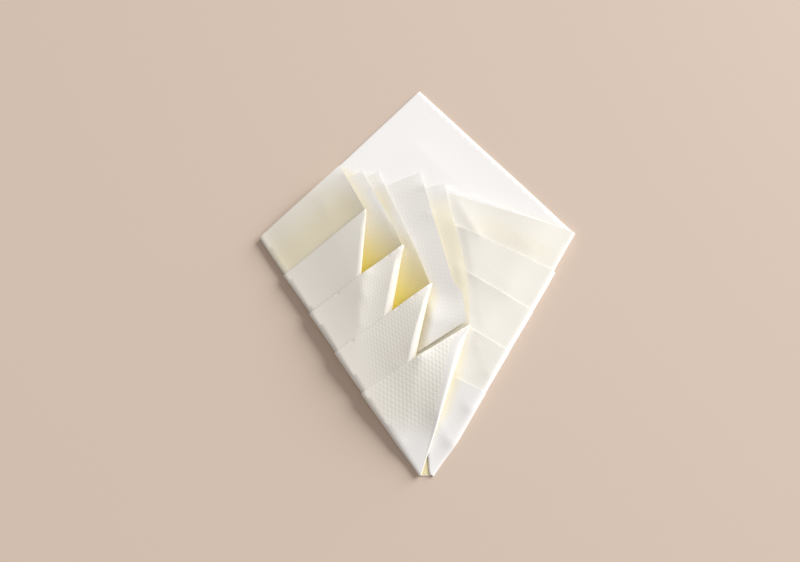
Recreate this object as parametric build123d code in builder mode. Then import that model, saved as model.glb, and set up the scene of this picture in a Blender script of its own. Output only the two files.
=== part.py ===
import os
from math import cos, radians, sin, sqrt, tan

from build123d import *

# The flat sheet, folded into four square leaves that share the closed corner
sheet_side = 330.0
paper = 0.16
air = 0.04

# The turned-up tips, measured on the diagonal from the closed corner
first_tip = 24.0
tip_step = 28.2

# The side folds: angle to the centre line, blunt lower end, and bulge of the innermost leaf
side_angle = 32.3
tip_half_width = 0.8
side_fold_depth = 0.5

# Each flap: angle its last leaf is drawn back about the lower end, and more for each leaf inside it
left_back_angle = 9.0
left_back_angle_step = 2.2
right_back_angle = 4.0
right_back_angle_step = 0.6

# Angle at which the turned-up tips of the left flap rise from its side fold and open pockets
left_lean_angle = 5.0

# Space under each flap, and air between its leaves
right_space = 0.06
right_air = 0.04
left_space = 0.06
left_air = 0.06

# Leaves are numbered from the innermost, and each quarter fold joins two pairs of them
leaves = (1, 2, 3, 4)
left_pairs = ((1, 2), (3, 4))
right_pairs = ((2, 3), (1, 4))
last_leaf = leaves[-1]
top_layer = 2 * last_leaf - 1

leaf_side = sheet_side / 2
diagonal = leaf_side * sqrt(2)
pitch = paper + air
half_turn = 180


def tip_distance(leaf):
    """Closed corner to the point of a turned-up tip."""
    return first_tip + (leaf - 1) * tip_step


def fold_distance(leaf):
    """Closed corner to the fold that turns a tip up."""
    return (diagonal + tip_distance(leaf)) / 2


length = fold_distance(last_leaf)
corner = Vector(0, length / 2)
lower_end = Vector(0, -length / 2)
slope = tan(radians(side_angle))


def mirrored(point):
    return Vector(-point.X, point.Y)


def on_side_fold(y):
    """Point of the left side fold at a height on the kite."""
    return Vector(-tip_half_width - slope * (y - lower_end.Y), y)


def edge_meets_side_fold(peak):
    """Where an edge that runs down at 45 degrees from the centre line meets the left side fold."""
    return on_side_fold((peak + slope * lower_end.Y - tip_half_width) / (1 + slope))


def folded_in(point, angle):
    """Point of the left half of a leaf after the side fold, drawn back by an angle."""
    foot = on_side_fold(lower_end.Y)
    along = Vector(-sin(radians(side_angle)), cos(radians(side_angle)))
    arm = point - foot
    flipped = along * (2 * arm.dot(along)) - arm
    return foot + flipped.rotate(Axis.Z, angle)


def leaned_height(point, lean):
    """Height that a leaning tip gains from the left side fold to a point of its flap."""
    inward = Vector(cos(radians(side_angle)), sin(radians(side_angle)))
    return tan(radians(lean)) * (point - on_side_fold(lower_end.Y)).dot(inward)


def body_layer(leaf):
    return last_leaf + leaf - 1


def tip_layer(leaf):
    return last_leaf - leaf


def main_height(layer):
    """Middle of a layer of the main panel, counted up from the table."""
    return layer * pitch + paper / 2


def flap_height(layer, base, flap_pitch):
    """Middle of a layer after its side is folded over, which puts the top layer lowest."""
    return base + (top_layer - layer) * flap_pitch + paper / 2


def leaf_plate(points, height, lean=0.0):
    """Flat piece of one leaf with its middle at a height, level or leaning on the left side fold."""
    rise = tan(radians(lean))
    upright = Vector(-rise * cos(radians(side_angle)), -rise * sin(radians(side_angle)), 1)
    along = Vector(sin(radians(side_angle)), -cos(radians(side_angle)))
    foot = on_side_fold(lower_end.Y)
    plane = Plane(origin=(foot.X, foot.Y, height - paper / 2), x_dir=along, z_dir=upright)
    corners = []
    for point in points:
        corner_height = height - paper / 2 + leaned_height(point, lean)
        local = plane.to_local_coords(Vector(point.X, point.Y, corner_height))
        corners.append((local.X, local.Y))
    with BuildPart() as plate:
        with BuildSketch(plane):
            with BuildLine():
                Polyline(*corners, close=True)
            make_face()
        extrude(amount=paper, dir=(0, 0, 1))
    return plate.part


def outward(start, end, inside):
    """Level direction across a fold, away from the paper inside it."""
    run = end - start
    across = Vector(run.Y, -run.X).normalized()
    return -across if across.dot(inside - start) > 0 else across


def side_turn(start, end, inside, low, high, bulge):
    """Rounded fold from start to end that joins two layers."""
    run = end - start
    middle = Vector(start.X, start.Y, (low + high) / 2)
    rise = (high - low) / 2
    half = paper / 2
    with BuildPart() as fold:
        with BuildSketch(Plane(origin=middle, x_dir=outward(start, end, inside), z_dir=run)):
            with BuildLine():
                outer = EllipticalCenterArc((0, 0), bulge + half, rise + half, -90, arc_size=half_turn)
                inner = EllipticalCenterArc((0, 0), bulge - half, rise - half, -90, arc_size=half_turn)
                Line(outer @ 0, inner @ 0)
                Line(outer @ 1, inner @ 1)
            make_face()
        extrude(amount=run.length)
    return fold.part


def half_loop(reach, rise, cut):
    """Outline of a creased fold with its two corners cut off."""
    lower = [(0, -rise), (reach - cut, -rise), (reach, cut - rise)]
    upper = [(reach, rise - cut), (reach - cut, rise), (0, rise)]
    return lower + upper


def leaf_turn(start, end, inside, low, high, climb=0.0):
    """Creased fold from start to end that joins two layers, the upper of which may climb."""
    across = outward(start, end, inside)
    reach = (high - low) / 2
    half = paper / 2
    inner_cut = (reach - half) / 2
    outer_cut = inner_cut + (2 - sqrt(2)) * paper
    with BuildPart() as fold:
        for point, top in ((start, high), (end, high + climb)):
            rise = (top - low) / 2
            outer = half_loop(reach + half, rise + half, outer_cut)
            inner = half_loop(reach - half, rise - half, inner_cut)
            middle = Vector(point.X, point.Y, (low + top) / 2)
            with BuildSketch(Plane(origin=middle, x_dir=across, z_dir=end - start)):
                with BuildLine():
                    Polyline(*outer, *reversed(inner), close=True)
                make_face()
        loft(ruled=True)
    return fold.part


side_corner = edge_meets_side_fold(corner.Y)
square_corner = Vector(-diagonal / 2, corner.Y - diagonal / 2)
folds = {leaf: on_side_fold(corner.Y - fold_distance(leaf)) for leaf in leaves}
tips = {leaf: Vector(0, corner.Y - tip_distance(leaf)) for leaf in leaves}
notches = {leaf: edge_meets_side_fold(tips[leaf].Y) for leaf in leaves}


def main_panel():
    """Eight layers between the side folds, with the turned-up tips underneath."""
    pieces = []
    for leaf in leaves:
        body = main_height(body_layer(leaf))
        tip = main_height(tip_layer(leaf))
        foot = folds[leaf]
        notch = notches[leaf]
        outline = [corner, side_corner, foot, mirrored(foot), mirrored(side_corner)]
        pieces.append(leaf_plate(outline, body))
        outline = [tips[leaf], notch, foot, mirrored(foot), mirrored(notch)]
        pieces.append(leaf_plate(outline, tip))
        pieces.append(leaf_turn(foot, mirrored(foot), corner, tip, body))
    return pieces


def flap(place, pairs, base, flap_pitch, back, back_step, lean=0.0):
    """One folded-in side: nested leaves, each turned back on itself, with all its folds."""
    pieces = []
    side = place(side_corner)
    for leaf in leaves:
        foot = place(folds[leaf])
        notch = place(notches[leaf])
        angle = back + (last_leaf - leaf) * back_step
        half_base = diagonal - fold_distance(leaf)
        end = place(folded_in(Vector(-half_base, folds[leaf].Y), angle))
        pair = next(each for each in pairs if leaf in each)
        pair_angle = back + (last_leaf - sum(pair) / 2) * back_step
        loose = place(folded_in(square_corner, pair_angle))
        body = flap_height(body_layer(leaf), base, flap_pitch)
        tip = flap_height(tip_layer(leaf), base, flap_pitch)
        pieces.append(leaf_plate([side, loose, end, foot], body))
        pieces.append(leaf_plate([notch, end, foot], tip, lean))
        pieces.append(leaf_turn(foot, end, side, body, tip, leaned_height(end, lean)))
        for layer, upper, height in ((body_layer(leaf), side, body), (tip_layer(leaf), notch, tip)):
            bulge = side_fold_depth + (top_layer - layer) * pitch
            pieces.append(side_turn(foot, upper, Vector(0, foot.Y), main_height(layer), height, bulge))
        if leaf == pair[0]:
            other = body_layer(pair[1])
            low = main_height(body_layer(leaf))
            pieces.append(leaf_turn(corner, side, lower_end, low, main_height(other)))
            low = flap_height(other, base, flap_pitch)
            pieces.append(leaf_turn(side, loose, end, low, body))
    return pieces


right_pitch = paper + right_air
right_base = top_layer * pitch + paper + right_space
left_pitch = paper + left_air
left_base = right_base + top_layer * right_pitch + paper + left_space

pieces = main_panel()
pieces += flap(
    mirrored, right_pairs, right_base, right_pitch, right_back_angle, right_back_angle_step
)
pieces += flap(
    Vector, left_pairs, left_base, left_pitch, left_back_angle, left_back_angle_step, left_lean_angle
)

with BuildPart() as napkin:
    add(pieces)

napkin.part.label = "napkin"
os.makedirs("parts", exist_ok=True)
export_step(napkin.part, "parts/napkin.step")
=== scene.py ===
from math import cos, radians, sin, sqrt, tan

import bmesh
import bpy
import numpy as np
from mathutils import Matrix, Vector, noise
from mathutils.geometry import delaunay_2d_cdt


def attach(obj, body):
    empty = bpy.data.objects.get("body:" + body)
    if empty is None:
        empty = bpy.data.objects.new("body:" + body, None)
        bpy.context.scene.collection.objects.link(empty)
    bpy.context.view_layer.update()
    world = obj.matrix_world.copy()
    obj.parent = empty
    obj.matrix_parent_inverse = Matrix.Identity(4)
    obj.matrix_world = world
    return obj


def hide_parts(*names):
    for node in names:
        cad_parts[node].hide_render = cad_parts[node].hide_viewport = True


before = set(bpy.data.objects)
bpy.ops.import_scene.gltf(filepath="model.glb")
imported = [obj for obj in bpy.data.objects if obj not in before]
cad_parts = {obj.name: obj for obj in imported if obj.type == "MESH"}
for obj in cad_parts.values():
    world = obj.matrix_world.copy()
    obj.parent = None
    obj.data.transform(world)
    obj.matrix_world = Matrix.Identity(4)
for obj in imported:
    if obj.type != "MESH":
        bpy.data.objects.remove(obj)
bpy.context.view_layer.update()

# Plan of the fold, in millimetres, in the part's frame
SHEET = 330.0
FIRST_TIP = 24.0
TIP_STEP = 28.2
TIP_SLIP = 4.0
SIDE_ANGLE = 32.3
TIP_HALF_WIDTH = 2.2
LEAVES = (1, 2, 3, 4)
LAST = LEAVES[-1]
PAPER = 0.16
PITCH = 0.24

DIAGONAL = SHEET / sqrt(2)
SLOPE = tan(radians(SIDE_ANGLE))
LENGTH = (DIAGONAL + FIRST_TIP + (LAST - 1) * TIP_STEP) / 2
TOP = LENGTH / 2
FOLD_IN = np.array([cos(radians(SIDE_ANGLE)), sin(radians(SIDE_ANGLE))])
# Factors that put a point of the left half on one side or the other
LEFT, RIGHT = np.array([1.0, 1.0]), np.array([-1.0, 1.0])


def tip_distance(leaf):
    return FIRST_TIP + (leaf - 1) * TIP_STEP


def fold_distance(leaf):
    return (DIAGONAL + tip_distance(leaf)) / 2


def on_side_fold(y):
    return np.array([-TIP_HALF_WIDTH - SLOPE * (y + TOP), y])


def edge_meets_side_fold(peak):
    return on_side_fold((peak - SLOPE * TOP - TIP_HALF_WIDTH) / (1 + SLOPE))


CORNER = np.array([0.0, TOP])
SIDE = edge_meets_side_fold(TOP)
FOOT = {k: on_side_fold(TOP - fold_distance(k)) for k in LEAVES}
TIP = {k: np.array([0.0, TOP - tip_distance(k) - TIP_SLIP]) for k in LEAVES}
NOTCH = {k: edge_meets_side_fold(TIP[k][1]) for k in LEAVES}

# Loose corners of the leaves of each flap, as they lie
LEFT_END = {1: (-23.2, 27.2), 2: (-7.4, 11.2), 3: (4.3, -6.2), 4: (20.0, -24.0)}
LEFT_LOOSE = {1: (-34.9, 48.9), 2: (-25.4, 47.8), 3: (-18.2, 47.6), 4: (11.2, 41.4)}
RIGHT_END = {1: (5.8, 26.0), 2: (-3.0, 14.0), 3: (-10.0, -6.0), 4: (-21.0, -28.5)}
RIGHT_LOOSE = {1: (13.0, 36.6), 2: (12.4, 38.2), 3: (11.8, 39.2), 4: (11.2, 40.2)}
# The parted ply of the last left leaf: its loose edge, its hidden side, and the ridge it makes
PLY_EDGE = ((0.4, 46.6), (13.7, -4.1), (17.6, -9.8), (19.0, -22.0))
PLY_HIDDEN = ((-10.0, -40.0), (-40.0, 30.0))
PLY_RIDGE = ((4.8, -9.0), (4.0, -22.0), (-1.3, -39.2))
# Step in the left side fold where each turned-up tip begins, and how far down it runs out
NOTCH_STEP, NOTCH_REACH = 0.8, 18.0
# How far the loose edge of each left leaf bows outward, and the power that puts this past its middle
FREE_BOW = {1: 0.0, 2: 1.0, 3: 0.6, 4: 2.8}
BOW_POWER = 1.6
# Lower fold of the last right leaf: its bow, and shares of its length where it begins, grows and ends
RIGHT_BOW, RIGHT_BOW_FROM, RIGHT_BOW_SHARE, RIGHT_BOW_END = 2.0, 0.5, 0.3, 0.15
# Plan width of the lit strip on each fold of the left flap, and the share of it that comes slowly
STRIP = {1: 1.7, 2: 3.0, 3: 3.0, 4: 5.6}
WIDENING = {1: 0.4, 2: 0.4, 3: 0.75}
# Shares of a fold's length: the strip's quick start, its slow widening, and how much it narrows
STRIP_START, STRIP_SLOW, STRIP_NARROWING = 0.12, 0.4, 0.45
# The strip of the last leaf: share of its start, least width, and share at which it ends
LAST_START, LAST_LEAST, LAST_END = 0.16, 0.7, 0.85
# The same strip on the right flap: width, and share of its start
RIGHT_STRIP, RIGHT_START = 0.8, 0.3
# Share of a fold's length over which it is pinched into the side fold
PINCH = 0.12
# A leaf ends this far inside its fold, and its turned-up tip is laid this far past it
FOLD_GAP, COVER_PAST = 0.25, 1.0

# Spacing of the mesh in facets that show, in hidden ones, along edges and beside crests
FINE, COARSE, EDGE_STEP, CREST_STEP = 1.4, 2.8, 1.4, 0.4
# Least distance of inner points from the outline, as a share of their spacing
ROW_CLEAR, SPOT_CLEAR = 0.8, 0.55
# How far the cut edge of a turned-up tip bends down
EDGE_FALL = 0.2
SMALLEST_TRIANGLE = 1e-4
TINY = 1e-6


def from_left_fold(points):
    """Distance from the left side fold, into the kite."""
    return (points - on_side_fold(-TOP)) @ FOLD_IN


def smooth(x):
    x = np.clip(x, 0, 1)
    return x * x * (3 - 2 * x)


def run(a, b, step):
    """Points from a to b, both included, about a step apart."""
    n = max(1, int(round(np.linalg.norm(np.subtract(b, a)) / step)))
    return np.linspace(a, b, n + 1)


def bowed(points, bow):
    """Points of a straight edge moved out to its left, most of all past its middle."""
    along = points[-1] - points[0]
    across = np.array([-along[1], along[0]]) / np.linalg.norm(along)
    t = np.linspace(0, 1, len(points))
    return points + across * (bow * np.sin(np.pi * t ** BOW_POWER))[:, None]


def left_strip_width(leaf, s):
    """Plan width of a fold's lit strip, from the loose end at 0 to the side fold at 1."""
    if leaf == LAST:
        return smooth(s / LAST_START) * (LAST_LEAST + STRIP[leaf] * np.clip(1 - s / LAST_END, 0, 1))
    start = (1 - WIDENING[leaf]) * smooth(s / STRIP_START)
    slow = WIDENING[leaf] * np.clip(s / STRIP_SLOW, 0, 1)
    return STRIP[leaf] * (start + slow) * (1 - STRIP_NARROWING * s)


def right_strip_width(leaf, s):
    """The same on the right flap, where it is equal for every leaf."""
    return RIGHT_STRIP * smooth(s / RIGHT_START)


def inside(points, outline):
    """Which points lie inside a closed outline."""
    x, y = points[:, 0], points[:, 1]
    result = np.zeros(len(points), bool)
    for a, b in zip(outline, np.roll(outline, -1, axis=0)):
        if a[1] == b[1]:
            continue
        crosses = (a[1] > y) != (b[1] > y)
        result ^= crosses & (x < (b[0] - a[0]) * (y - a[1]) / (b[1] - a[1]) + a[0])
    return result


def outline_distance(points, outline):
    """Distance of each point to the nearest side of an outline."""
    best = np.full(len(points), np.inf)
    for a, b in zip(outline, np.roll(outline, -1, axis=0)):
        side = b - a
        t = np.clip(((points - a) @ side) / max(side @ side, TINY ** 2), 0, 1)
        best = np.minimum(best, np.linalg.norm(points - a - t[:, None] * side, axis=1))
    return best


def inner_row(points, outline, step):
    """Points a step inside an outline, beside the points of one of its edges."""
    along = np.gradient(points, axis=0)
    across = np.column_stack([-along[:, 1], along[:, 0]]) / np.linalg.norm(along, axis=1)[:, None]
    row = points + across * step
    if inside(row, outline).mean() < 0.5:
        row = points - across * step
    return row[inside(row, outline) & (outline_distance(row, outline) > ROW_CLEAR * step)]


class Facet:
    """One flat region of the folded sheet: its plan outline, edge by edge, and its place on its leaf."""

    def __init__(self, edges, plan, leaf_points, spacing, cover=None, crests=()):
        self.edges = edges
        self.spacing = spacing
        self.crests = crests
        source = np.column_stack([np.array(plan, float), np.ones(3)])
        self.to_leaf = np.linalg.solve(source, np.array(leaf_points, float))
        self.outline = np.concatenate([points[:-1] for points in edges.values()])
        self.cover = self.outline if cover is None else cover


def half_base(leaf):
    """Loose end of a leaf's lower fold before the side is folded in."""
    return np.array([-(DIAGONAL - fold_distance(leaf)), TOP - fold_distance(leaf)])


def turned_down(points, leaf):
    """Points of a turned-up tip as they lie on the flat leaf."""
    return [np.array([p[0], 2 * FOOT[leaf][1] - p[1]]) for p in points]


def into_leaf(side, leaf, end):
    """Plan direction across a leaf's lower fold, into the leaf."""
    along = FOOT[leaf] * side - np.array(end)
    along = along / np.linalg.norm(along)
    inward = np.array([-along[1], along[0]])
    return -inward if inward @ (SIDE * side - np.array(end)) < 0 else inward


def main_facets():
    """Leaves between the side folds, with their turned-up tips."""
    facets = {}
    for k in LEAVES:
        foot, notch, tip = FOOT[k], NOTCH[k], TIP[k]
        edges = {
            "left_quarter": run(CORNER, SIDE, EDGE_STEP),
            "left_side": run(SIDE, foot, EDGE_STEP),
            "base": run(foot, foot * RIGHT, EDGE_STEP),
            "right_side": run(foot * RIGHT, SIDE * RIGHT, EDGE_STEP),
            "right_quarter": run(SIDE * RIGHT, CORNER, EDGE_STEP),
        }
        plan = [CORNER, SIDE, SIDE * RIGHT]
        facets["body", k] = Facet(edges, plan, plan, FINE if k == LAST else COARSE)
        edges = {
            "left_edge": run(tip, notch, EDGE_STEP),
            "left_side": run(notch, foot, EDGE_STEP),
            "base": run(foot, foot * RIGHT, EDGE_STEP),
            "right_side": run(foot * RIGHT, notch * RIGHT, EDGE_STEP),
            "right_edge": run(notch * RIGHT, tip, EDGE_STEP),
        }
        plan = [tip, notch, notch * RIGHT]
        facets["tip", k] = Facet(edges, plan, turned_down(plan, k), COARSE)
    return facets


def flap_facets(side, ends, looses, strip_width):
    """Leaves of one flap, each with its turned-up tip."""
    is_left = side is LEFT
    facets = {}
    for k in LEAVES:
        corner, foot, notch = SIDE * side, FOOT[k] * side, NOTCH[k] * side
        end, loose = np.array(ends[k]), np.array(looses[k])
        inward = into_leaf(side, k, end)
        base = run(end, foot, EDGE_STEP)
        u = np.linspace(0, 1, len(base))
        if not is_left and k == LAST:
            bow = RIGHT_BOW * smooth((u - RIGHT_BOW_FROM) / RIGHT_BOW_SHARE)
            base = base + inward * (bow * smooth((1 - u) / RIGHT_BOW_END))[:, None]
        pinch = smooth((1 - u) / PINCH)
        lower = base + inward * (FOLD_GAP * pinch)[:, None]
        crest = base + inward * (strip_width(k, u) * pinch)[:, None]
        crest[0] = lower[0]
        edges = {
            "side": run(foot, corner, EDGE_STEP),
            "quarter": run(corner, loose, EDGE_STEP),
            "free": bowed(run(loose, lower[0], EDGE_STEP), FREE_BOW[k] if is_left else 0.0),
            "base": lower,
        }
        spacing = FINE if is_left or k == LEAVES[0] else COARSE
        before = [foot, corner, half_base(k) * side]
        facets["body", k] = Facet(edges, [foot, corner, end], before, spacing)
        fold = run(foot, notch, EDGE_STEP)
        if is_left:
            away = np.linalg.norm(fold - notch, axis=1)
            fold = fold - FOLD_IN * (NOTCH_STEP * np.clip(1 - away / NOTCH_REACH, 0, 1))[:, None]
        edges = {
            "side": fold,
            "free": run(fold[-1], crest[0], EDGE_STEP),
            "base": crest,
        }
        before = turned_down([foot, notch, half_base(k) * side], k)
        cover = np.concatenate([fold, base - inward * COVER_PAST])
        crests = ("base", "free") if is_left else ("base",)
        facets["tip", k] = Facet(edges, [foot, notch, end], before, FINE, cover, crests)
    return facets


def ply_facet():
    """The parted ply, which lies beside the last leaf of the left flap."""
    loose = [run(a, b, EDGE_STEP)[:-1] for a, b in zip(PLY_EDGE, PLY_EDGE[1:])]
    edges = {
        "hidden": run(*PLY_HIDDEN, EDGE_STEP),
        "quarter": run(PLY_HIDDEN[1], PLY_EDGE[0], EDGE_STEP),
        "free": np.concatenate(loose + [[PLY_EDGE[-1]]]),
        "base": run(PLY_EDGE[-1], PLY_HIDDEN[0], EDGE_STEP),
    }
    plan = [FOOT[LAST], SIDE, LEFT_END[LAST]]
    return Facet(edges, plan, [FOOT[LAST], SIDE, half_base(LAST)], FINE)


main = main_facets()
left = flap_facets(LEFT, LEFT_END, LEFT_LOOSE, left_strip_width)
right = flap_facets(RIGHT, RIGHT_END, RIGHT_LOOSE, right_strip_width)
ply = ply_facet()

# Heights: every facet is laid in turn on what is already there, on a 1 mm grid of plan points
GRID_X = np.arange(-80.0, 81.0)
GRID_Y = np.arange(-95.0, 96.0)
GRID = np.stack(np.meshgrid(GRID_X, GRID_Y), axis=-1)
FLAT_GRID = GRID.reshape(-1, 2)
# Height of each grid point on the kite, from its lower end
ABOVE_END = GRID[..., 1] + TOP
KERNEL = (1, 2, 3, 2, 1)
# How far past its outline a facet is laid, and how often its heights then spread outward
COVER_REACH, SPREAD_ROUNDS = 1.6, 4

# Rounds of smoothing as each kind of facet is laid
MAIN_ROUNDS, RIGHT_ROUNDS, LEFT_ROUNDS, LEFT_TIP_ROUNDS = 12, 16, 14, 22
LAST_LEAF_ROUNDS, PLY_ROUNDS, TOP_ROUNDS = 90, 30, 10

# Pockets: height of each, and how soon it closes towards the loose end of its fold
LEFT_POCKET = {1: 1.4, 2: 4.8, 3: 5.8, 4: 6.2}
RIGHT_POCKET = {1: 0.6, 2: 0.4, 3: 0.4, 4: 0.4}
CLOSING = {1: 6.0, 2: 6.0, 3: 6.0, 4: 14.0}
# Distance from the side fold at which a pocket is full, and how much steeper it begins
POCKET_REACH, POCKET_ARCH = 44.0, 0.3
# Gap of every tip from its leaf: at the side fold, further in, and over what distance
GAP_AT_FOLD, GAP_INSIDE, GAP_REACH = 0.1, 0.4, 30.0
# The last pocket is shallow at the lower end: share there, height where that ends, and over what length
LAST_SHALLOW, LAST_SHALLOW_FROM, LAST_SHALLOW_OVER = 0.3, -74.0, 14.0

# Curl of loose edges: height at the top, height at the lower end, and reach
LEFT_CURL = {1: (0.3, 1.0, 5.0), 2: (0.9, 1.9, 8.0), 3: (0.9, 1.9, 8.0), 4: (0.2, 0.9, 4.0)}
PLY_CURL = (0.9, 0.5, 9.0)
RIGHT_TIP_CURL = (0.2, 0.7, 1.6)
# Crease of the right flap: from, to, height for each leaf, and width
RIGHT_CREASE_FROM, RIGHT_CREASE_TO = (15.0, 36.0), (26.5, 14.5)
RIGHT_CREASE, RIGHT_CREASE_WIDTH = 0.1, 1.8
# The right flap springs open: height, distance of the crest from the side fold, and where it ends
SPRING, SPRING_CREST_LOW, SPRING_CREST, SPRING_END = 3.2, 4.0, 15.0, 58.0
# Height on the kite at which the spring is full, and the share of it at which it begins
SPRING_FULL, SPRING_FROM = 100.0, 0.2
# The first left leaf lifts off its side fold: height, reach, and height on the kite where it is full
SWELL, SWELL_REACH, SWELL_FULL = 5.4, 29.0, 40.0
# Ridge of the parted ply: height, reach to its left and right, and length over which it fades in
RIDGE, RIDGE_LEFT, RIDGE_RIGHT, RIDGE_FADE = 1.5, 2.8, 24.0, 14.0
# How quickly a crease fades at its ends, and how much of it is left there
CREASE_FADE, CREASE_END = 4, 0.3

# The right flap lies flat where the left flap covers it: edge of the cover at three heights
COVER_HEIGHTS, COVER_EDGE, COVER_FADE = (-86.0, -24.0, 41.0), (-2.0, 20.0, 11.0), 6
BARE = smooth((GRID[..., 0] - np.interp(GRID[..., 1], COVER_HEIGHTS, COVER_EDGE)) / COVER_FADE)


def blur(values):
    """One pass of a small soft kernel over the grid."""
    for axis in (0, 1):
        padded = np.pad(values, [(2, 2) if a == axis else (0, 0) for a in (0, 1)], mode="edge")
        n = values.shape[axis]
        parts = [np.take(padded, range(i, i + n), axis=axis) for i in range(len(KERNEL))]
        values = sum(w * p for w, p in zip(KERNEL, parts)) / sum(KERNEL)
    return values


def lay(facet, floor, rounds):
    """Height of a facet over the grid: the smooth sheet that touches the floor from above."""
    mask = inside(FLAT_GRID, facet.cover) | (outline_distance(FLAT_GRID, facet.cover) < COVER_REACH)
    wide = mask.reshape(floor.shape)
    weight = np.maximum(blur(wide.astype(float)), TINY)
    z = np.where(wide, floor, 0.0)
    for _ in range(rounds):
        z = np.where(wide, np.maximum(floor, blur(z) / weight), 0.0)
    known = wide.astype(float)
    for _ in range(SPREAD_ROUNDS):
        spread = blur(known)
        fill = blur(np.where(known > 0, z, 0.0)) / np.maximum(spread, TINY)
        z = np.where(known > 0, z, np.where(spread > 0, fill, 0.0))
        known = np.where(spread > 0, 1.0, known)
    return z, wide


def along_line(points, a, b):
    """Share of the way from a to b that is nearest to each point, and the distance from it."""
    a, b = np.array(a), np.array(b)
    line = b - a
    t = np.clip(((points - a) @ line) / (line @ line), 0, 1)
    return t, np.linalg.norm(points - a - t[..., None] * line, axis=-1)


def crease(points, a, b, height, width):
    """A soft ridge from a to b that fades out at both ends."""
    t, away = along_line(points, a, b)
    ends = smooth(CREASE_FADE * np.minimum(t, 1 - t) + CREASE_END)
    return height * np.exp(-((away / width) ** 2)) * ends


def curl(a, b, at_a, at_b, reach):
    """Rise of a leaf towards its loose edge, which runs from a to b."""
    t, away = along_line(GRID, a, b)
    return (at_a + (at_b - at_a) * smooth(t)) * np.exp(-away / reach)


def from_side_fold(side):
    """Distance of the grid from a side fold, into the kite."""
    return np.maximum(from_left_fold(FLAT_GRID * side), 0).reshape(GRID.shape[:2])


def right_spring():
    """Rise of the right flap: up to a crest near its side fold, then slowly down."""
    away = from_side_fold(RIGHT)
    up = ABOVE_END / SPRING_FULL
    crest = SPRING_CREST_LOW + SPRING_CREST * np.clip(up, 0, 1)
    arch = 1 - (1 - np.clip(away / crest, 0, 1)) ** 2
    start = np.clip((up - SPRING_FROM) / (1 - SPRING_FROM), 0, 1)
    return SPRING * start * arch * np.clip(1 - away / SPRING_END, 0, 1)


def left_swell():
    """Rise of the first left leaf, which lifts off beside its side fold and levels out."""
    return SWELL * (1 - np.exp(-from_side_fold(LEFT) / SWELL_REACH)) * smooth(ABOVE_END / SWELL_FULL)


def ply_ridge():
    """Ridge along the parted ply, steep on its left, that fades in from its upper end."""
    x, y = GRID[..., 0], GRID[..., 1]
    order = np.array(sorted(PLY_RIDGE, key=lambda p: p[1]))
    across = x - np.interp(y, order[:, 1], order[:, 0])
    steep = smooth(1 + across / RIDGE_LEFT)
    flank = np.where(across < 0, steep, np.clip(1 - across / RIDGE_RIGHT, 0, 1))
    return RIDGE * flank * smooth((PLY_RIDGE[0][1] - y) / RIDGE_FADE)


class Pile:
    """What has been laid so far: the height of its top, and of each facet, over the grid."""

    def __init__(self):
        self.top = np.full(GRID.shape[:2], -PITCH / 2)
        self.heights = {}

    def place(self, facet, key, rounds, least=None, lift=0.0, crown=0.0):
        """Lays a facet on the pile, lifted, no lower than its least height, with a crown on it."""
        floor = self.top + PITCH + lift
        if least is not None:
            floor = np.maximum(floor, least)
        z, mask = lay(facet, floor, rounds)
        z = z + crown
        self.heights[key] = z
        self.top = np.where(mask, np.maximum(z, self.top), self.top)

    def pocket(self, flap, side, leaf, end, height):
        """Least height of a tip above its own leaf, so that its pocket stands open."""
        from_fold = from_side_fold(side)
        to_end = np.linalg.norm(GRID - np.array(end), axis=-1)
        across = np.clip(from_fold / POCKET_REACH, 0, 1)
        arch = (1 + POCKET_ARCH - POCKET_ARCH * across) * across
        rise = height * arch * (1 - np.exp(-to_end / CLOSING[leaf]))
        if leaf == LAST:
            deep = smooth((GRID[..., 1] - LAST_SHALLOW_FROM) / LAST_SHALLOW_OVER)
            rise = rise * (LAST_SHALLOW + (1 - LAST_SHALLOW) * deep)
        gap = GAP_AT_FOLD + GAP_INSIDE * np.clip(from_fold / GAP_REACH, 0, 1)
        return self.heights[flap, "body", leaf] + gap + rise


pile = Pile()
for k in reversed(LEAVES):
    pile.place(main["tip", k], ("main", "tip", k), MAIN_ROUNDS)
for k in LEAVES:
    pile.place(main["body", k], ("main", "body", k), MAIN_ROUNDS)
for k in reversed(LEAVES):
    height = RIGHT_CREASE * (LAST - k)
    lift = crease(GRID, RIGHT_CREASE_FROM, RIGHT_CREASE_TO, height, RIGHT_CREASE_WIDTH)
    if k == LAST:
        lift = lift + right_spring()
    pile.place(right["body", k], ("right", "body", k), RIGHT_ROUNDS, lift=lift)
for k in LEAVES:
    body = pile.heights["right", "body", k]
    least = pile.pocket("right", RIGHT, k, RIGHT_END[k], RIGHT_POCKET[k])
    lift = curl(NOTCH[k] * RIGHT, RIGHT_END[k], *RIGHT_TIP_CURL) * BARE
    pile.place(right["tip", k], ("right", "tip", k), RIGHT_ROUNDS, body + (least - body) * BARE, lift)
for k in reversed(LEAVES):
    lift = curl(LEFT_LOOSE[k], LEFT_END[k], *LEFT_CURL[k])
    if k == LEAVES[0]:
        lift = lift + left_swell()
    rounds = LAST_LEAF_ROUNDS if k == LAST else LEFT_ROUNDS
    pile.place(left["body", k], ("left", "body", k), rounds, lift=lift)
    if k == LAST:
        lift = curl(PLY_EDGE[0], LEFT_END[k], *PLY_CURL)
        pile.place(ply, ("left", "ply", k), PLY_ROUNDS, lift=lift, crown=ply_ridge())
for k in LEAVES:
    least = pile.pocket("left", LEFT, k, LEFT_END[k], LEFT_POCKET[k])
    pile.place(left["tip", k], ("left", "tip", k), LEFT_TIP_ROUNDS, least, EDGE_FALL)

soft_top = pile.top
for _ in range(TOP_ROUNDS):
    soft_top = blur(soft_top)


# The last place on the grid at which a field is read, counted back from its length
JUST_INSIDE = 1.001


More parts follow.
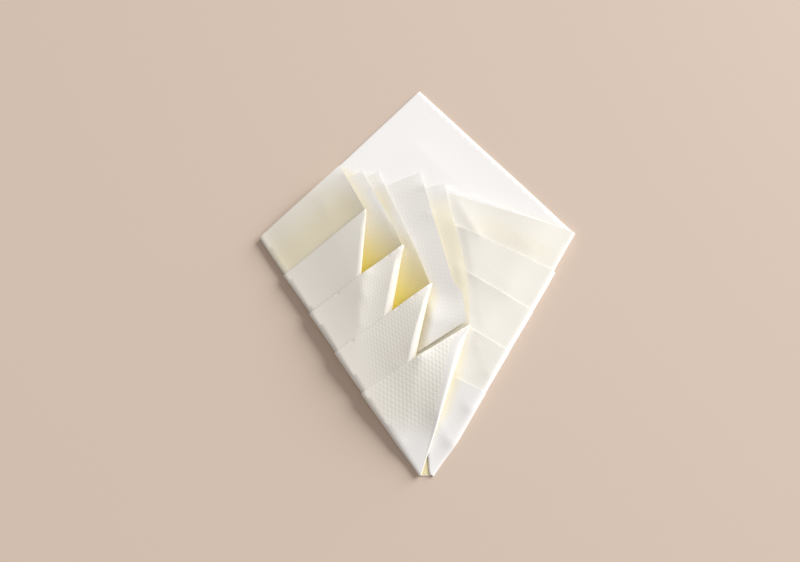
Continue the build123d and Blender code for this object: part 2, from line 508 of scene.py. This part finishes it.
def sample(field, points):
    """Value of a grid field at plan points, between the grid's points."""
    x = np.clip(points[:, 0] - GRID_X[0], 0, len(GRID_X) - JUST_INSIDE)
    y = np.clip(points[:, 1] - GRID_Y[0], 0, len(GRID_Y) - JUST_INSIDE)
    i, j = x.astype(int), y.astype(int)
    u, v = x - i, y - j
    low = field[j, i] * (1 - u) + field[j, i + 1] * u
    high = field[j + 1, i] * (1 - u) + field[j + 1, i + 1] * u
    return low * (1 - v) + high * v


class Sheet:
    """The mesh: facets in triangles, and rounded folds between them."""

    def __init__(self):
        self.points, self.leaf, self.faces, self.ranges = [], [], [], {}

    def add(self, xyz, leaf):
        start = len(self.points)
        self.points.extend(map(tuple, xyz))
        self.leaf.extend(map(tuple, leaf))
        return list(range(start, len(self.points)))

    def facet(self, facet, key):
        """Adds a facet and gives the vertex numbers along each of its edges."""
        outline = facet.outline
        low, high = outline.min(0), outline.max(0)
        across = facet.spacing
        up = across * sqrt(3) / 2
        rows = range(int(low[1] // up), int(high[1] // up) + 2)
        columns = range(int(low[0] // across) - 1, int(high[0] // across) + 2)
        spots = np.array([(across * (i + 0.5 * (j % 2)), up * j) for j in rows for i in columns])
        clear = outline_distance(spots, outline) > SPOT_CLEAR * across
        plan = np.concatenate([outline, spots[inside(spots, outline) & clear]])
        for name in facet.crests:
            plan = np.concatenate([plan, inner_row(facet.edges[name], outline, CREST_STEP)])
        ring = list(range(len(outline)))
        result = delaunay_2d_cdt([Vector(p) for p in plan], [], [ring], 1, TINY, True)
        cdt_points, _, triangles, sources = result[:4]
        number = {}
        for n, source in enumerate(sources):
            for s in source:
                number[s] = n
        plan = np.array([tuple(p) for p in cdt_points])
        z = sample(pile.heights[key], plan)
        if "free" in facet.crests:
            away = outline_distance(plan, facet.edges["free"])
            z = z - EDGE_FALL * np.clip(1 - away / CREST_STEP, 0, 1)
        leaf = np.column_stack([plan, np.ones(len(plan))]) @ facet.to_leaf
        ids = self.add(np.column_stack([plan, z]), leaf)
        self.ranges[key] = (ids[0], ids[-1] + 1)
        corners = plan[np.array(triangles)]
        ab, ac = corners[:, 1] - corners[:, 0], corners[:, 2] - corners[:, 0]
        area = np.abs(ab[:, 0] * ac[:, 1] - ab[:, 1] * ac[:, 0]) / 2
        real = inside(corners.mean(1), outline) & (area > SMALLEST_TRIANGLE)
        self.faces.extend([tuple(ids[i] for i in tri) for tri, ok in zip(triangles, real) if ok])
        edges, start = {}, 0
        for name, points in facet.edges.items():
            n = len(points) - 1
            edges[name] = [ids[number[(start + i) % len(outline)]] for i in range(n + 1)]
            start += n
        return edges

    def bridge(self, first, second, profile):
        """Adds faces between two edges of equal length, by way of the rows that the profile gives."""
        a = np.array([self.points[i] for i in first])
        b = np.array([self.points[i] for i in second])
        leaf = np.array([self.leaf[i] for i in first])
        begin = len(self.points)
        rows = [first] + [self.add(row, leaf) for row in profile(a, b)] + [second]
        for p, q in zip(rows, rows[1:]):
            for i in range(len(p) - 1):
                self.faces.append((p[i], p[i + 1], q[i + 1], q[i]))
        return begin, len(self.points)


# Rounded folds: share of the bulge at the lower end, and length over which it becomes full
TAPER_LEAST, TAPER_OVER = 0.45, 16
# Bulges: of lower folds for each leaf, of quarter folds for each leaf between them, and of side folds,
# with more for each layer inside and for the tips of the right flap
BASE_BULGE, QUARTER_BULGE = 0.2, 0.18
LEFT_BULGE, LEFT_BULGE_STEP = 0.25, 0.1
RIGHT_BULGE, RIGHT_BULGE_STEP, RIGHT_TIP_BULGE = 0.45, 0.2, 0.7
FLAT_FOLD_ROWS, SIDE_FOLD_ROWS = 3, 5
# Lit strips: where the rows lie, bulge as a share of the rise, rise at which it stops, and its lean
STRIP_ROWS = (0.06, 0.2, 0.4, 0.6, 0.75, 0.86, 0.94)
STRIP_BULGE, STRIP_BULGE_RISE, STRIP_LEAN, LEAST_RISE = 0.28, 2.0, 0.7, 0.3
# Foot of a strip, and the turn under it: distance outward, most height, and height as a share of the rise
FOOT_OUT, FOOT_HEIGHT, FOOT_SHARE = 0.3, 0.9, 0.5
UNDER_OUT, UNDER_HEIGHT, UNDER_SHARE = 0.42, 0.4, 0.22
# The strip of the last left leaf stays level and falls at its foot
LAST_FALL = 8.0


def round_fold(outward, bulge, count):
    """Rows of a rounded fold that bulges outward between two edges one above the other."""

    def profile(a, b):
        taper = TAPER_LEAST + (1 - TAPER_LEAST) * smooth((a[:, 1] + TOP) / TAPER_OVER)
        for i in range(1, count + 1):
            angle = np.pi * (i / (count + 1))
            row = (a + b) / 2 - (b - a) / 2 * cos(angle)
            row[:, :2] += np.array(outward) * (bulge * sin(angle) * taper)[:, None]
            yield row

    return profile


def strip_fold(outward, fall):
    """Rows of a fold that comes down as a straight lit strip and turns under at its foot."""

    def profile(a, b):
        rise = np.maximum(a[:, 2] - b[:, 2], LEAST_RISE)
        foot = b.copy()
        foot[:, :2] += outward * FOOT_OUT
        foot[:, 2] += np.minimum(FOOT_HEIGHT, FOOT_SHARE * rise)
        for t in STRIP_ROWS:
            row = a * (1 - t) + foot * t
            row[:, 2] = a[:, 2] + (foot[:, 2] - a[:, 2]) * t ** fall
            bulge = STRIP_BULGE * np.minimum(rise, STRIP_BULGE_RISE) * sin(np.pi * t ** STRIP_LEAN)
            row[:, :2] += outward * bulge[:, None]
            yield row
        row = b.copy()
        row[:, :2] += outward * UNDER_OUT
        row[:, 2] += np.minimum(UNDER_HEIGHT, UNDER_SHARE * rise)
        yield row

    return profile


sheet = Sheet()
main_edges = {key: sheet.facet(f, ("main",) + key) for key, f in main.items()}
left_edges = {key: sheet.facet(f, ("left",) + key) for key, f in left.items()}
right_edges = {key: sheet.facet(f, ("right",) + key) for key, f in right.items()}
sheet.facet(ply, ("left", "ply", LAST))

for k in LEAVES:
    fold = round_fold((0, -1), BASE_BULGE * k, FLAT_FOLD_ROWS)
    sheet.bridge(main_edges["body", k]["base"], main_edges["tip", k]["base"], fold)
for flap, side, edges, ends in (
    ("left", LEFT, left_edges, LEFT_END),
    ("right", RIGHT, right_edges, RIGHT_END),
):
    for k in LEAVES:
        for kind, depth in (("body", LAST - k), ("tip", LAST - 1 + k)):
            below = main_edges[kind, k][flap + "_side"]
            if flap == "left":
                below = below[::-1]
                bulge = LEFT_BULGE + LEFT_BULGE_STEP * depth
            else:
                step = RIGHT_TIP_BULGE if kind == "tip" else 0.0
                bulge = RIGHT_BULGE + RIGHT_BULGE_STEP * depth + step
            fold = round_fold(-FOLD_IN * side, bulge, SIDE_FOLD_ROWS)
            sheet.bridge(below, edges[kind, k]["side"], fold)
        fall = LAST_FALL if flap == "left" and k == LAST else 1.0
        fold = strip_fold(-into_leaf(side, k, ends[k]), fall)
        added = sheet.bridge(edges["tip", k]["base"], edges["body", k]["base"], fold)
        sheet.ranges[flap, "strip", k] = added
for name, pairs, outward in (
    ("left_quarter", ((1, 2), (3, 4)), (-sqrt(0.5), sqrt(0.5))),
    ("right_quarter", ((2, 3), (1, 4)), (sqrt(0.5), sqrt(0.5))),
):
    for low, high in pairs:
        fold = round_fold(outward, QUARTER_BULGE * (high - low), FLAT_FOLD_ROWS)
        sheet.bridge(main_edges["body", low][name], main_edges["body", high][name], fold)

points = np.array(sheet.points)
plan = points[:, :2].copy()
plan_y = plan[:, 1]


def near(spot, reach):
    """1 at a spot, falling smoothly to 0 at a distance from it."""
    return smooth(1 - np.linalg.norm(plan - np.array(spot), axis=1) / reach)


def region(*key):
    """Vertices of one facet or strip."""
    return slice(*sheet.ranges[key])


def at_least(tone, amount, *key):
    """Raises a tone over one region to an amount, which is one number or one for each vertex."""
    where = region(*key)
    tone[where] = np.maximum(tone[where], np.broadcast_to(amount, len(plan))[where])


# Painted warm shade: a yellow-brown tone painted where the paper lies in shade in pockets, recesses,
# creases and under other layers, standing in for shade and for light bounced in and passed through the
# paper
# Painted shade under other layers: its amount, the depth at which it begins, and the depth over which it
# grows
UNDER_WARM, UNDER_FROM, UNDER_OVER = 0.25, 0.8, 2.0
STRIP_WARM = {1: 0.12, 2: 0.08, 3: 0.03, 4: 0.03}
PANEL_WARM, PLY_WARM, RIGHT_WARM = 0.11, 0.04, 0.1
# Painted shade tones that fade along the kite: amount, height at which they are gone, and over what
# length
TIP_WARM, TIP_WARM_END, TIP_WARM_OVER = 0.1, -74, 15
LAST_WARM, LAST_WARM_END, LAST_WARM_OVER = 0.28, 42, 18
LOWER_WARM, LOWER_WARM_END, LOWER_WARM_OVER = 0.5, -70, 8
PANEL_END, PANEL_OVER = 54, 20
# Painted shade deep in the two open pockets: its place and reach
DEEP = {2: ((-27.0, -3.5), 41.0), 3: ((-14.5, -20.5), 54.0)}
# Bands of the same painted shade: from, to, amount and width
DEEP_BAND = {2: ((-27.0, -3.5), (-31.0, 44.0), 0.25, 7.0), 3: ((-14.0, -20.0), (-22.0, 40.0), 0.5, 8.0)}
PANEL_BAND = ((-62.0, 2.0), (-24.0, 33.0), 0.22, 12.0)
PLY_VALLEY = ((2.0, -12.0), (-5.0, -41.0), 0.4, 3.0)
LAST_OPENING = ((-4.0, -37.0), (18.0, -22.0), 0.14, 2.2)
RIGHT_BAND = ((22.0, 24.0), (60.0, 6.0), 0.08, 5.0)

panel_share = smooth((PANEL_END - plan_y) / PANEL_OVER)
valley = crease(plan, *PLY_VALLEY)
tip_warm = TIP_WARM * smooth((plan_y - TIP_WARM_END) / TIP_WARM_OVER)
last_warm = LAST_WARM * smooth((LAST_WARM_END - plan_y) / LAST_WARM_OVER)
lower_warm = LOWER_WARM * smooth((LOWER_WARM_END - plan_y) / LOWER_WARM_OVER)

painted_warm_shade = UNDER_WARM * smooth((sample(soft_top, plan) - points[:, 2] - UNDER_FROM) / UNDER_OVER)
for k in LEAVES:
    at_least(painted_warm_shade, tip_warm, "left", "tip", k)
    at_least(painted_warm_shade, STRIP_WARM[k], "left", "strip", k)
at_least(painted_warm_shade, panel_share * (PANEL_WARM + crease(plan, *PANEL_BAND)), "left", "body", 1)
for k in DEEP:
    at_least(painted_warm_shade, near(*DEEP[k]), "left", "body", k)
    at_least(painted_warm_shade, crease(plan, *DEEP_BAND[k]), "left", "body", k)
at_least(painted_warm_shade, last_warm, "left", "body", LAST)
at_least(painted_warm_shade, PLY_WARM, "left", "ply", LAST)
for kind in ("body", "ply"):
    at_least(painted_warm_shade, np.maximum(valley, crease(plan, *LAST_OPENING)), "left", kind, LAST)
for kind, k in (("body", 1), ("tip", 1), ("tip", 2), ("tip", 3)):
    at_least(painted_warm_shade, RIGHT_WARM, "right", kind, k)
where = region("right", "body", 1)
painted_warm_shade[where] += crease(plan[where], *RIGHT_BAND)
for flap in ("main", "right"):
    at_least(painted_warm_shade, lower_warm, flap, "body", LAST)

# Painted shade: the tone is dimmed on single layers over open pockets, the left tips, the first left leaf
# and the ply, most of all on the lit strips
DIM_SHADE = {
    ("strip", 1): 1.0,
    ("strip", 2): 1.0,
    ("strip", 3): 1.0,
    ("strip", 4): 0.4,
    ("tip", 1): 0.25,
    ("tip", 2): 0.25,
    ("tip", 3): 0.16,
    ("tip", 4): 0.0,
    ("body", 1): 0.38,
    ("ply", 4): 0.15,
}
# More painted shade on the tips beside the left side fold, and in the valley of the ply
DIM_SHADE_AT_FOLD, DIM_SHADE_REACH, DIM_SHADE_VALLEY = 0.45, 9, 1.4
painted_dim_shade = np.zeros(len(plan))
for (kind, k), amount in DIM_SHADE.items():
    where = region("left", kind, k)
    painted_dim_shade[where] = amount
    if kind == "tip":
        painted_dim_shade[where] += DIM_SHADE_AT_FOLD * np.clip(1 - from_left_fold(plan[where]) / DIM_SHADE_REACH, 0, 1)
painted_dim_shade[region("left", "body", 1)] *= panel_share[region("left", "body", 1)]
at_least(painted_dim_shade, DIM_SHADE_VALLEY * valley, "left", "ply", LAST)

# The embossing is pressed flat where the sheet was smoothed by hand
EMBOSS_ELSEWHERE, EMBOSS_PRESSED = 0.35, 0.2
EMBOSS = {("tip", 2): 0.8, ("tip", 3): 1.1, ("tip", 4): 1.8, ("ply", 4): 0.7}
# Edge of the pressed part beside the left side fold: two heights, its place there, and its width
PRESSED_HEIGHTS, PRESSED_EDGE, PRESSED_OVER = (-60.0, -5.0), (-21.0, -33.0), 7
# Height of the pressed lower end, and over what length the embossing comes back
PRESSED_END, PRESSED_END_OVER = -70, 8
emboss = np.full(len(plan), EMBOSS_ELSEWHERE)
for (kind, k), depth in EMBOSS.items():
    where = region("left", kind, k)
    x, y = plan[where].T
    kept = smooth((x - np.interp(y, PRESSED_HEIGHTS, PRESSED_EDGE)) / PRESSED_OVER)
    kept = kept * smooth((y - PRESSED_END) / PRESSED_END_OVER)
    emboss[where] = EMBOSS_PRESSED + (depth - EMBOSS_PRESSED) * kept

# Small waves of the whole stack, the same for every layer at one place: height, length and seed
WAVES = ((0.08, 19, 3.1), (0.03, 8, 7.7))
# Height in the stack at which the waves are full
WAVES_FULL = 5
waves = np.array(
    [sum(h * noise.noise(Vector((x / length, y / length, seed))) for h, length, seed in WAVES)
     for x, y in points[:, :2]]
)
points[:, 2] += waves * np.clip(points[:, 2] / WAVES_FULL, 0, 1)
# The whole stack has slipped a little askew: place, shift and reach of each slip
SLIPS = (
    ((0.0, -86.0), (1.2, 0.3), 34.0),
    ((0.0, 86.0), (0.6, 0.4), 34.0),
    ((-69.0, 17.0), (-0.9, 0.0), 24.0),
    ((69.0, 17.0), (-1.0, 0.0), 24.0),
)
for spot, shift, reach in SLIPS:
    share = np.exp(-((np.linalg.norm(points[:, :2] - np.array(spot), axis=1) / reach) ** 2))
    points[:, :2] += share[:, None] * np.array(shift)
# The left side fold stands out a little
FOLD_PUSH, FOLD_PUSH_REACH = 0.7, 10
fold_share = np.exp(-np.maximum(from_left_fold(points[:, :2]), 0) / FOLD_PUSH_REACH)
points[:, :2] -= FOLD_IN * FOLD_PUSH * fold_share[:, None]
points[:, 2] -= points[:, 2].min() - PAPER / 2

MM = 1000
SHARP = radians(60)


def thin_mesh():
    """The sheet without thickness, with its leaf map, its painted shade tones and its embossing."""
    mesh = bpy.data.meshes.new("napkin_sheet")
    mesh.from_pydata([tuple(p) for p in points / MM], [], sheet.faces)
    uv = mesh.uv_layers.new(name="sheet")
    loop_vertex = np.zeros(len(mesh.loops), int)
    mesh.loops.foreach_get("vertex_index", loop_vertex)
    uv.data.foreach_set("uv", np.array(sheet.leaf)[loop_vertex].astype(np.float32).ravel())
    for name, tone in (("painted_warm_shade", painted_warm_shade), ("painted_dim_shade", painted_dim_shade), ("emboss", emboss)):
        attribute = mesh.attributes.new(name, "FLOAT", "POINT")
        attribute.data.foreach_set("value", tone.astype(np.float32))
    bm = bmesh.new()
    bm.from_mesh(mesh)
    bmesh.ops.recalc_face_normals(bm, faces=bm.faces)
    bm.to_mesh(mesh)
    bm.free()
    mesh.shade_smooth()
    return mesh


def thick_mesh(mesh):
    """The same sheet with the thickness of the paper and sharp cut edges."""
    thin_sheet = bpy.data.objects.new("thin_sheet", mesh)
    bpy.context.collection.objects.link(thin_sheet)
    solid = thin_sheet.modifiers.new("paper", "SOLIDIFY")
    solid.thickness = PAPER / MM
    solid.offset = 0.0
    evaluated = thin_sheet.evaluated_get(bpy.context.evaluated_depsgraph_get())
    thick = bpy.data.meshes.new_from_object(evaluated)
    bpy.data.objects.remove(thin_sheet)
    bm = bmesh.new()
    bm.from_mesh(thick)
    for edge in bm.edges:
        edge.smooth = edge.calc_face_angle(0.0) < SHARP
    bm.to_mesh(thick)
    bm.free()
    return thick


napkin_mesh = thick_mesh(thin_mesh())
napkin = bpy.data.objects.new("napkin_sheet", napkin_mesh)
bpy.context.collection.objects.link(napkin)


class Value:
    """A shader socket that takes part in sums."""

    def __init__(self, graph, socket):
        self.graph, self.socket = graph, socket

    def math(self, operation, other=None):
        sockets = {0: self} if other is None else {0: self, 1: other}
        return self.graph.node("ShaderNodeMath", {"operation": operation}, sockets)

    def __add__(self, other):
        return self.math("ADD", other)

    def __radd__(self, other):
        return self.math("ADD", other)

    def __sub__(self, other):
        return self.math("SUBTRACT", other)

    def __rsub__(self, other):
        return self * -1.0 + other

    def __mul__(self, other):
        return self.math("MULTIPLY", other)

    def __rmul__(self, other):
        return self.math("MULTIPLY", other)


class Graph:
    """Node tree of a new material."""

    def __init__(self, name):
        self.material = bpy.data.materials.new(name)
        self.material.use_nodes = True
        self.tree = self.material.node_tree
        self.shader = self.tree.nodes["Principled BSDF"]

    def node(self, kind, settings, sockets, output=0):
        """Adds a node, applies its settings, sets or links its sockets, and gives one output."""
        node = self.tree.nodes.new(kind)
        for key, item in settings.items():
            setattr(node, key, item)
        for key, item in sockets.items():
            self.feed(node.inputs[key], item)
        return Value(self, node.outputs[output])

    def feed(self, socket, item):
        """Links a value to a socket, or sets the socket."""
        if isinstance(item, Value):
            self.tree.links.new(item.socket, socket)
        else:
            socket.default_value = item

    def attribute(self, name):
        """A tone that is kept at the vertices of the mesh."""
        return self.node("ShaderNodeAttribute", {"attribute_name": name}, {}, "Fac")

    def mix(self, share, first, second, blend="MIX"):
        """Two colours mixed by a share."""
        settings = {"data_type": "RGBA", "blend_type": blend}
        sockets = {MIX_SHARE: share, MIX_FIRST: first, MIX_SECOND: second}
        return self.node("ShaderNodeMix", settings, sockets, MIX_RESULT)


# Places of the share, the two colours and the resulting colour among a mix node's sockets
MIX_SHARE, MIX_FIRST, MIX_SECOND, MIX_RESULT = 0, 6, 7, 2

# Paper: plain tone, painted warm shade tone, cloudy tint, and painted dim shade tone
WHITE = (0.918, 0.918, 0.92, 1)
WARM_SHADE_TONE = (0.82, 0.645, 0.075, 1)
CLOUDY = (0.95, 0.94, 0.91, 1)
DIM_SHADE_TONE = (0.79, 0.77, 0.755, 1)
# Embossing: width of a column, length of a dot in it, and lean of the columns on the leaf
COLUMN, DOT, LEAN = 1.65, 2.0, radians(23.0)
# Profile of the embossing: how much of each dot is cut off, its roundness, and the rib of a column
DOT_CUT, DOT_POWER, RIB = 0.15, 0.7, 0.35
# Relief of the embossing and of the fibres, and strength and depth of the whole
RELIEF_DOTS, RELIEF_FIBRE, RELIEF_STRENGTH, RELIEF_DEPTH = 0.8, 0.35, 0.4, 0.00007
# Cloudy tint: level at which it begins, and share of it
CLOUD_FROM, CLOUD_SHARE = 0.35, 0.5
ROUGH_LEAST, ROUGH_FIBRE = 0.78, 0.18

paper = Graph("napkin_paper")
sheet_map = paper.node("ShaderNodeUVMap", {"uv_map": "sheet"}, {})
leaf_x = paper.node("ShaderNodeSeparateXYZ", {}, {"Vector": sheet_map}, "X")
leaf_y = paper.node("ShaderNodeSeparateXYZ", {}, {"Vector": sheet_map}, "Y")
across = leaf_y * cos(LEAN) - leaf_x * sin(LEAN)
along = leaf_y * sin(LEAN) + leaf_x * cos(LEAN)
columns = (across * (np.pi / COLUMN)).math("COSINE")
rows = (along * (2 * np.pi / DOT)).math("COSINE")
dots = (columns * rows - DOT_CUT).math("MAXIMUM", 0.0).math("POWER", DOT_POWER)
dots = dots + columns * columns * RIB
cloud = paper.node("ShaderNodeTexNoise", {}, {"Vector": sheet_map, "Scale": 0.035, "Detail": 3.0})
fibre = paper.node("ShaderNodeTexNoise", {}, {"Vector": sheet_map, "Scale": 1.6, "Detail": 4.0})
# Painted shade: a warm tone in pockets, recesses and creases, and a dimmed tone on shaded and lit single
# layers
colour = paper.mix(paper.attribute("painted_warm_shade"), WHITE, WARM_SHADE_TONE)
colour = paper.mix((cloud - CLOUD_FROM) * CLOUD_SHARE, colour, CLOUDY, "MULTIPLY")
colour = paper.mix(paper.attribute("painted_dim_shade"), colour, DIM_SHADE_TONE, "MULTIPLY")
paper.feed(paper.shader.inputs["Base Color"], colour)
paper.feed(paper.shader.inputs["Roughness"], ROUGH_LEAST + fibre * ROUGH_FIBRE)
relief = dots * paper.attribute("emboss") * RELIEF_DOTS + fibre * RELIEF_FIBRE
relief_sockets = {"Height": relief, "Strength": RELIEF_STRENGTH, "Distance": RELIEF_DEPTH}
paper.feed(paper.shader.inputs["Normal"], paper.node("ShaderNodeBump", {}, relief_sockets))
paper.shader.inputs["Specular IOR Level"].default_value = 0.25
paper.shader.inputs["Sheen Weight"].default_value = 0.08
napkin_mesh.materials.append(paper.material)

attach(napkin, "root")
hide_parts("napkin")

# Floor, light and camera
FLOOR_DARK = (0.66, 0.54, 0.45, 1)
FLOOR_LIGHT = (0.70, 0.58, 0.49, 1)
FLOOR_REACH = 3
KEY_PLACE, KEY_SIZE, KEY_POWER = (4.7, 3.52, 2.2), 4.6, 760.0
STUDIO_COLOUR, STUDIO_STRENGTH = (1, 0.93, 0.87, 1), 0.40

ground = Graph("pale_floor")
grain = ground.node("ShaderNodeTexNoise", {}, {"Scale": 3.0, "Detail": 2.0})
ground.feed(ground.shader.inputs["Base Color"], ground.mix(grain, FLOOR_DARK, FLOOR_LIGHT))
ground.shader.inputs["Roughness"].default_value = 0.7
floor_mesh = bpy.data.meshes.new("floor")
floor_corners = [(x * FLOOR_REACH, y * FLOOR_REACH, 0) for x, y in ((-1, -1), (1, -1), (1, 1), (-1, 1))]
floor_mesh.from_pydata(floor_corners, [], [(0, 1, 2, 3)])
floor_mesh.materials.append(ground.material)
floor = bpy.data.objects.new("floor", floor_mesh)
bpy.context.collection.objects.link(floor)

lamp = bpy.data.lights.new("key", "AREA")
lamp.size = KEY_SIZE
lamp.energy = KEY_POWER
key_light = bpy.data.objects.new("key", lamp)
bpy.context.collection.objects.link(key_light)
key_light.location = KEY_PLACE
key_light.rotation_euler = Vector(KEY_PLACE).to_track_quat("Z", "Y").to_euler()
world = bpy.data.worlds.new("studio")
world.use_nodes = True
world.node_tree.nodes["Background"].inputs["Color"].default_value = STUDIO_COLOUR
world.node_tree.nodes["Background"].inputs["Strength"].default_value = STUDIO_STRENGTH
bpy.context.scene.world = world
bpy.context.scene.view_settings.view_transform = "Standard"

ELEVATION, DISTANCE, TURN = radians(74.0), 0.479, radians(-0.64)
TARGET = Vector((-0.0088, -0.0025, 0))
turn = Matrix.Rotation(TURN, 3, "Z")
back = turn @ Vector((0, -cos(ELEVATION), sin(ELEVATION)))
sideways = turn @ Vector((1, 0, 0))
upward = back.cross(sideways)
camera = bpy.data.cameras.new("camera")
camera.lens = 50
camera.sensor_width = 36
camera.clip_start = 0.01
eye = bpy.data.objects.new("camera", camera)
bpy.context.collection.objects.link(eye)
axes = Matrix((sideways, upward, back)).transposed().to_4x4()
eye.matrix_world = Matrix.Translation(TARGET + back * DISTANCE) @ axes
bpy.context.scene.camera = eye
